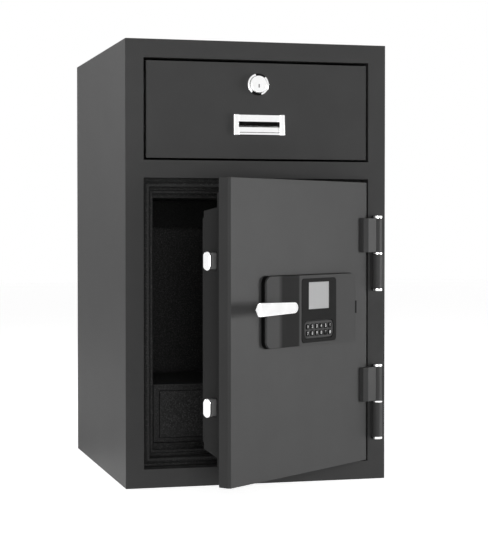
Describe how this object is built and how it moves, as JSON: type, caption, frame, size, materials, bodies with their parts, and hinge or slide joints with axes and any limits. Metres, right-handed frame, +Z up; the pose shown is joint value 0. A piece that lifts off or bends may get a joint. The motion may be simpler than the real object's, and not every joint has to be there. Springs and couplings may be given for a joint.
{
  "type": "deposit safe",
  "caption": "Free-standing steel deposit safe with a keyed front-loading drawer above a hinged door with lever handle, electronic keypad lock and live bolts, shown with the door ajar.",
  "frame": {"origin": "centre of the safe's underside, on the floor plane", "axes": "+Z up, the drawer and door are on the -Y side, +X to the right when facing the door, which is hinged on the +X side"},
  "size_m": [0.578, 0.9833, 0.95],
  "materials": {
    "casing_paint": "fine textured charcoal powder coat",
    "door_paint": "fine textured charcoal powder coat",
    "inner_paint": "speckled dark powder coat",
    "barrier": "cast lightweight fire-barrier fill, painted dark where it shows",
    "chrome": "bright polished chrome plate",
    "zinc_steel": "zinc-plated sheet steel",
    "panel_plastic": "satin moulded plastic",
    "black_plastic": "semi-gloss black moulded plastic",
    "screen": "unlit reflective grey display window",
    "key_rubber": "moulded silicone keys with pale numerals"
  },
  "bodies": {
    "safe_body": {"outer_shell": "casing_paint", "front_frame": "casing_paint", "jamb_step": "inner_paint", "bolt_lip": "inner_paint", "barrier_fill": "barrier", "inner_liner": "inner_paint", "drawer_compartment": "inner_paint", "chute_baffle": "inner_paint", "drawer_baffle": "zinc_steel", "slide_outer_right": "zinc_steel", "slide_outer_left": "zinc_steel", "locker_body": "inner_paint", "hinge_knuckle_upper": "casing_paint", "hinge_pin_upper": "chrome", "hinge_washer_upper": "chrome", "hinge_knuckle_lower": "casing_paint", "hinge_pin_lower": "chrome", "hinge_washer_lower": "chrome"},
    "door": {"door_plate": "door_paint", "door_step": "inner_paint", "door_pan": "inner_paint", "door_back_cover": "inner_paint", "hinge_leaf_upper": "door_paint", "hinge_leaf_lower": "door_paint", "lock_panel": "panel_plastic", "keypad_bezel": "black_plastic", "display_window": "screen", "solenoid": "zinc_steel", "bolt_guide_upper": "zinc_steel", "bolt_guide_lower": "zinc_steel"},
    "lever": {"lever_handle": "chrome", "lever_spindle": "zinc_steel"},
    "bolt_carriage": {"bolt_bar": "zinc_steel", "bolt_upper": "chrome", "bolt_lower": "chrome"},
    "plunger": {"solenoid_plunger": "zinc_steel"},
    "drawer": {"drawer_front": "casing_paint", "drawer_tray": "zinc_steel", "drawer_pull": "chrome", "lock_collar": "chrome", "slide_inner_right": "zinc_steel", "slide_inner_left": "zinc_steel"},
    "drawer_lock": {"lock_barrel": "chrome", "lock_cam": "zinc_steel"},
    "middle_slides": {"slide_middle_right": "zinc_steel", "slide_middle_left": "zinc_steel"},
    "locker_door": {"locker_door": "inner_paint"},
    "locker_lock": {"locker_lock": "chrome"},
    "key_1": {"key_1": "key_rubber"},
    "key_2": {"key_2": "key_rubber"},
    "key_3": {"key_3": "key_rubber"},
    "key_4": {"key_4": "key_rubber"},
    "key_5": {"key_5": "key_rubber"},
    "key_6": {"key_6": "key_rubber"},
    "key_7": {"key_7": "key_rubber"},
    "key_8": {"key_8": "key_rubber"},
    "key_9": {"key_9": "key_rubber"},
    "key_10": {"key_10": "key_rubber"},
    "key_11": {"key_11": "key_rubber"},
    "key_12": {"key_12": "key_rubber"}
  },
  "joints": [
    {"name": "door_hinge", "type": "hinge", "parent": "safe_body", "child": "door", "pos_m": [0.266, -0.335, 0.35], "axis": [0, 0, 1], "range_deg": [-38, 112]},
    {"name": "lever_turn", "type": "hinge", "parent": "door", "child": "lever", "pos_m": [-0.00153, -0.58462, 0.393], "axis": [0.6157, -0.788, 0], "range_deg": [0, 90]},
    {"name": "bolts_slide", "type": "slide", "parent": "door", "child": "bolt_carriage", "axis": [-0.788, -0.6157, 0], "range_m": [0, 0.02]},
    {"name": "plunger_slide", "type": "slide", "parent": "door", "child": "plunger", "axis": [0, 0, -1], "range_m": [0, 0.008], "stiffness_N_per_m": 200},
    {"name": "drawer_slide", "type": "slide", "parent": "safe_body", "child": "drawer", "axis": [0, -1, 0], "range_m": [0, 0.25]},
    {"name": "middle_slides_run", "type": "slide", "parent": "safe_body", "child": "middle_slides", "axis": [0, -1, 0], "range_m": [0, 0.125]},
    {"name": "drawer_lock_turn", "type": "hinge", "parent": "drawer", "child": "drawer_lock", "pos_m": [0, -0.321, 0.859], "axis": [0, -1, 0], "range_deg": [0, 90]},
    {"name": "locker_door_hinge", "type": "hinge", "parent": "safe_body", "child": "locker_door", "pos_m": [-0.1895, -0.20245, 0.142], "axis": [0, 0, -1], "range_deg": [0, 95]},
    {"name": "locker_lock_turn", "type": "hinge", "parent": "locker_door", "child": "locker_lock", "pos_m": [-0.033, -0.2, 0.142], "axis": [0, 1, 0], "range_deg": [0, 90]},
    {"name": "key_1_press", "type": "slide", "parent": "door", "child": "key_1", "axis": [-0.6157, 0.788, 0], "range_m": [0, 0.001], "stiffness_N_per_m": 300},
    {"name": "key_2_press", "type": "slide", "parent": "door", "child": "key_2", "axis": [-0.6157, 0.788, 0], "range_m": [0, 0.001], "stiffness_N_per_m": 300},
    {"name": "key_3_press", "type": "slide", "parent": "door", "child": "key_3", "axis": [-0.6157, 0.788, 0], "range_m": [0, 0.001], "stiffness_N_per_m": 300},
    {"name": "key_4_press", "type": "slide", "parent": "door", "child": "key_4", "axis": [-0.6157, 0.788, 0], "range_m": [0, 0.001], "stiffness_N_per_m": 300},
    {"name": "key_5_press", "type": "slide", "parent": "door", "child": "key_5", "axis": [-0.6157, 0.788, 0], "range_m": [0, 0.001], "stiffness_N_per_m": 300},
    {"name": "key_6_press", "type": "slide", "parent": "door", "child": "key_6", "axis": [-0.6157, 0.788, 0], "range_m": [0, 0.001], "stiffness_N_per_m": 300},
    {"name": "key_7_press", "type": "slide", "parent": "door", "child": "key_7", "axis": [-0.6157, 0.788, 0], "range_m": [0, 0.001], "stiffness_N_per_m": 300},
    {"name": "key_8_press", "type": "slide", "parent": "door", "child": "key_8", "axis": [-0.6157, 0.788, 0], "range_m": [0, 0.001], "stiffness_N_per_m": 300},
    {"name": "key_9_press", "type": "slide", "parent": "door", "child": "key_9", "axis": [-0.6157, 0.788, 0], "range_m": [0, 0.001], "stiffness_N_per_m": 300},
    {"name": "key_10_press", "type": "slide", "parent": "door", "child": "key_10", "axis": [-0.6157, 0.788, 0], "range_m": [0, 0.001], "stiffness_N_per_m": 300},
    {"name": "key_11_press", "type": "slide", "parent": "door", "child": "key_11", "axis": [-0.6157, 0.788, 0], "range_m": [0, 0.001], "stiffness_N_per_m": 300},
    {"name": "key_12_press", "type": "slide", "parent": "door", "child": "key_12", "axis": [-0.6157, 0.788, 0], "range_m": [0, 0.001], "stiffness_N_per_m": 300}
  ],
  "couplings": [
    {"joint": "bolts_slide", "follows": "lever_turn", "m_per_rad": 0.01273},
    {"joint": "middle_slides_run", "follows": "drawer_slide", "ratio": 0.5}
  ]
}
